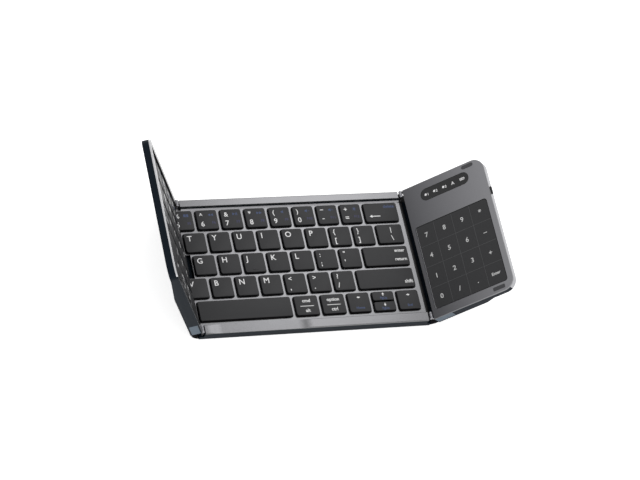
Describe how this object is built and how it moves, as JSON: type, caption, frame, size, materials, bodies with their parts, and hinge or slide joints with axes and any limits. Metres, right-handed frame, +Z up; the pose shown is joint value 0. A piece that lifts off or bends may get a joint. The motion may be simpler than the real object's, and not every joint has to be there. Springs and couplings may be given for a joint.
{
  "type": "folding keyboard",
  "caption": "Pocket keyboard in three hinged panels that fold face to face: keys on the left and centre panels, a touch pad with a number pad on the right one.",
  "frame": {"origin": "on the surface that the centre panel's feet stand on, under the middle of the centre panel", "axes": "+X to the user's right along the key rows, +Y away from the user, +Z up"},
  "size_m": [0.2517, 0.0985, 0.0958],
  "materials": {
    "shell_plastic": "fine matte, dark slate blue",
    "frame_metal": "satin, light grey",
    "touch_frame_metal": "satin, dark grey",
    "switch_sheet": "matte, black",
    "support_steel": "plain steel",
    "hinge_block_metal": "satin, light slate blue",
    "circuit_board": "lacquered green laminate",
    "foot_rubber": "matte, black",
    "touch_glass": "satin, with a charcoal print behind",
    "lens_plastic": "glossy, black",
    "battery_foil": "foil pouch",
    "switch_plastic": "matte, black",
    "key_plastic": "satin, charcoal"
  },
  "bodies": {
    "centre": {"centre_tray": "shell_plastic", "centre_top_frame": "frame_metal", "front_rail": "frame_metal", "back_rail": "frame_metal", "centre_switch_sheet": "switch_sheet", "centre_support_plate": "support_steel", "control_board": "circuit_board", "charge_socket": "support_steel", "centre_hinge_leaves": "support_steel", "hinge_pins": "support_steel", "centre_feet": "foot_rubber", "centre_screws": "support_steel"},
    "left_wing": {"left_tray": "shell_plastic", "left_top_frame": "frame_metal", "left_switch_sheet": "switch_sheet", "left_hinge_leaves": "hinge_block_metal", "left_feet": "foot_rubber", "left_screws": "support_steel"},
    "right_wing": {"right_tray": "shell_plastic", "right_top_frame": "touch_frame_metal", "touch_glass": "touch_glass", "touch_board": "circuit_board", "indicator_lens": "lens_plastic", "battery": "battery_foil", "right_hinge_leaves": "hinge_block_metal", "right_bumpers": "foot_rubber", "right_feet": "foot_rubber", "right_screws": "support_steel"},
    "power_slider": {"power_slider": "switch_plastic"},
    "mode_button": {"mode_button": "switch_plastic"},
    "number_keys": {"number_keys": "key_plastic"},
    "backspace_key": {"backspace_key": "key_plastic"},
    "key_t": {"key_t": "key_plastic"},
    "key_y": {"key_y": "key_plastic"},
    "key_u": {"key_u": "key_plastic"},
    "key_i": {"key_i": "key_plastic"},
    "key_o": {"key_o": "key_plastic"},
    "key_p": {"key_p": "key_plastic"},
    "bracket_keys": {"bracket_keys": "key_plastic"},
    "key_g": {"key_g": "key_plastic"},
    "key_h": {"key_h": "key_plastic"},
    "key_j": {"key_j": "key_plastic"},
    "key_k": {"key_k": "key_plastic"},
    "key_l": {"key_l": "key_plastic"},
    "sign_keys": {"sign_keys": "key_plastic"},
    "enter_key": {"enter_key": "key_plastic"},
    "key_v": {"key_v": "key_plastic"},
    "key_b": {"key_b": "key_plastic"},
    "key_n": {"key_n": "key_plastic"},
    "key_m": {"key_m": "key_plastic"},
    "stop_keys": {"stop_keys": "key_plastic"},
    "right_shift_key": {"right_shift_key": "key_plastic"},
    "space_bar": {"space_bar": "key_plastic"},
    "modifier_keys": {"modifier_keys": "key_plastic"},
    "arrow_keys": {"arrow_keys": "key_plastic"},
    "left_number_keys": {"left_number_keys": "key_plastic"},
    "left_upper_keys": {"left_upper_keys": "key_plastic"},
    "left_home_keys": {"left_home_keys": "key_plastic"},
    "left_lower_keys": {"left_lower_keys": "key_plastic"},
    "left_bottom_keys": {"left_bottom_keys": "key_plastic"}
  },
  "joints": [
    {"name": "fold_left", "type": "hinge", "parent": "centre", "child": "left_wing", "pos_m": [-0.07985, 0, 0.0087], "axis": [0, 1, 0], "range_deg": [-65.3, 114.7]},
    {"name": "fold_right", "type": "hinge", "parent": "centre", "child": "right_wing", "pos_m": [0.07985, 0, 0.0087], "axis": [0, -1, 0], "range_deg": [-46.8, 133.2]},
    {"name": "slide_power", "type": "slide", "parent": "centre", "child": "power_slider", "axis": [1, 0, 0], "range_m": [0, 0.003]},
    {"name": "press_mode", "type": "slide", "parent": "right_wing", "child": "mode_button", "axis": [-0.6845, 0, -0.729], "range_m": [0, 0.0004], "stiffness_N_per_m": 400},
    {"name": "press_space_bar", "type": "slide", "parent": "centre", "child": "space_bar", "axis": [0, 0, 1], "range_m": [-0.0012, 0], "stiffness_N_per_m": 400},
    {"name": "press_enter_key", "type": "slide", "parent": "centre", "child": "enter_key", "axis": [0, 0, 1], "range_m": [-0.0012, 0], "stiffness_N_per_m": 400},
    {"name": "press_key_j", "type": "slide", "parent": "centre", "child": "key_j", "axis": [0, 0, 1], "range_m": [-0.0012, 0], "stiffness_N_per_m": 400},
    {"name": "press_left_number_keys", "type": "slide", "parent": "left_wing", "child": "left_number_keys", "axis": [0.9085, 0, 0.4179], "range_m": [-0.0012, 0], "stiffness_N_per_m": 400},
    {"name": "press_left_upper_keys", "type": "slide", "parent": "left_wing", "child": "left_upper_keys", "axis": [0.9085, 0, 0.4179], "range_m": [-0.0012, 0], "stiffness_N_per_m": 400},
    {"name": "press_left_home_keys", "type": "slide", "parent": "left_wing", "child": "left_home_keys", "axis": [0.9085, 0, 0.4179], "range_m": [-0.0012, 0], "stiffness_N_per_m": 400},
    {"name": "press_left_lower_keys", "type": "slide", "parent": "left_wing", "child": "left_lower_keys", "axis": [0.9085, 0, 0.4179], "range_m": [-0.0012, 0], "stiffness_N_per_m": 400},
    {"name": "press_left_bottom_keys", "type": "slide", "parent": "left_wing", "child": "left_bottom_keys", "axis": [0.9085, 0, 0.4179], "range_m": [-0.0012, 0], "stiffness_N_per_m": 400},
    {"name": "press_number_keys", "type": "slide", "parent": "centre", "child": "number_keys", "axis": [0, 0, 1], "range_m": [-0.0012, 0], "stiffness_N_per_m": 400},
    {"name": "press_backspace_key", "type": "slide", "parent": "centre", "child": "backspace_key", "axis": [0, 0, 1], "range_m": [-0.0012, 0], "stiffness_N_per_m": 400},
    {"name": "press_key_t", "type": "slide", "parent": "centre", "child": "key_t", "axis": [0, 0, 1], "range_m": [-0.0012, 0], "stiffness_N_per_m": 400},
    {"name": "press_key_y", "type": "slide", "parent": "centre", "child": "key_y", "axis": [0, 0, 1], "range_m": [-0.0012, 0], "stiffness_N_per_m": 400},
    {"name": "press_key_u", "type": "slide", "parent": "centre", "child": "key_u", "axis": [0, 0, 1], "range_m": [-0.0012, 0], "stiffness_N_per_m": 400},
    {"name": "press_key_i", "type": "slide", "parent": "centre", "child": "key_i", "axis": [0, 0, 1], "range_m": [-0.0012, 0], "stiffness_N_per_m": 400},
    {"name": "press_key_o", "type": "slide", "parent": "centre", "child": "key_o", "axis": [0, 0, 1], "range_m": [-0.0012, 0], "stiffness_N_per_m": 400},
    {"name": "press_key_p", "type": "slide", "parent": "centre", "child": "key_p", "axis": [0, 0, 1], "range_m": [-0.0012, 0], "stiffness_N_per_m": 400},
    {"name": "press_bracket_keys", "type": "slide", "parent": "centre", "child": "bracket_keys", "axis": [0, 0, 1], "range_m": [-0.0012, 0], "stiffness_N_per_m": 400},
    {"name": "press_key_g", "type": "slide", "parent": "centre", "child": "key_g", "axis": [0, 0, 1], "range_m": [-0.0012, 0], "stiffness_N_per_m": 400},
    {"name": "press_key_h", "type": "slide", "parent": "centre", "child": "key_h", "axis": [0, 0, 1], "range_m": [-0.0012, 0], "stiffness_N_per_m": 400},
    {"name": "press_key_k", "type": "slide", "parent": "centre", "child": "key_k", "axis": [0, 0, 1], "range_m": [-0.0012, 0], "stiffness_N_per_m": 400},
    {"name": "press_key_l", "type": "slide", "parent": "centre", "child": "key_l", "axis": [0, 0, 1], "range_m": [-0.0012, 0], "stiffness_N_per_m": 400},
    {"name": "press_sign_keys", "type": "slide", "parent": "centre", "child": "sign_keys", "axis": [0, 0, 1], "range_m": [-0.0012, 0], "stiffness_N_per_m": 400},
    {"name": "press_key_v", "type": "slide", "parent": "centre", "child": "key_v", "axis": [0, 0, 1], "range_m": [-0.0012, 0], "stiffness_N_per_m": 400},
    {"name": "press_key_b", "type": "slide", "parent": "centre", "child": "key_b", "axis": [0, 0, 1], "range_m": [-0.0012, 0], "stiffness_N_per_m": 400},
    {"name": "press_key_n", "type": "slide", "parent": "centre", "child": "key_n", "axis": [0, 0, 1], "range_m": [-0.0012, 0], "stiffness_N_per_m": 400},
    {"name": "press_key_m", "type": "slide", "parent": "centre", "child": "key_m", "axis": [0, 0, 1], "range_m": [-0.0012, 0], "stiffness_N_per_m": 400},
    {"name": "press_stop_keys", "type": "slide", "parent": "centre", "child": "stop_keys", "axis": [0, 0, 1], "range_m": [-0.0012, 0], "stiffness_N_per_m": 400},
    {"name": "press_right_shift_key", "type": "slide", "parent": "centre", "child": "right_shift_key", "axis": [0, 0, 1], "range_m": [-0.0012, 0], "stiffness_N_per_m": 400},
    {"name": "press_modifier_keys", "type": "slide", "parent": "centre", "child": "modifier_keys", "axis": [0, 0, 1], "range_m": [-0.0012, 0], "stiffness_N_per_m": 400},
    {"name": "press_arrow_keys", "type": "slide", "parent": "centre", "child": "arrow_keys", "axis": [0, 0, 1], "range_m": [-0.0012, 0], "stiffness_N_per_m": 400}
  ]
}
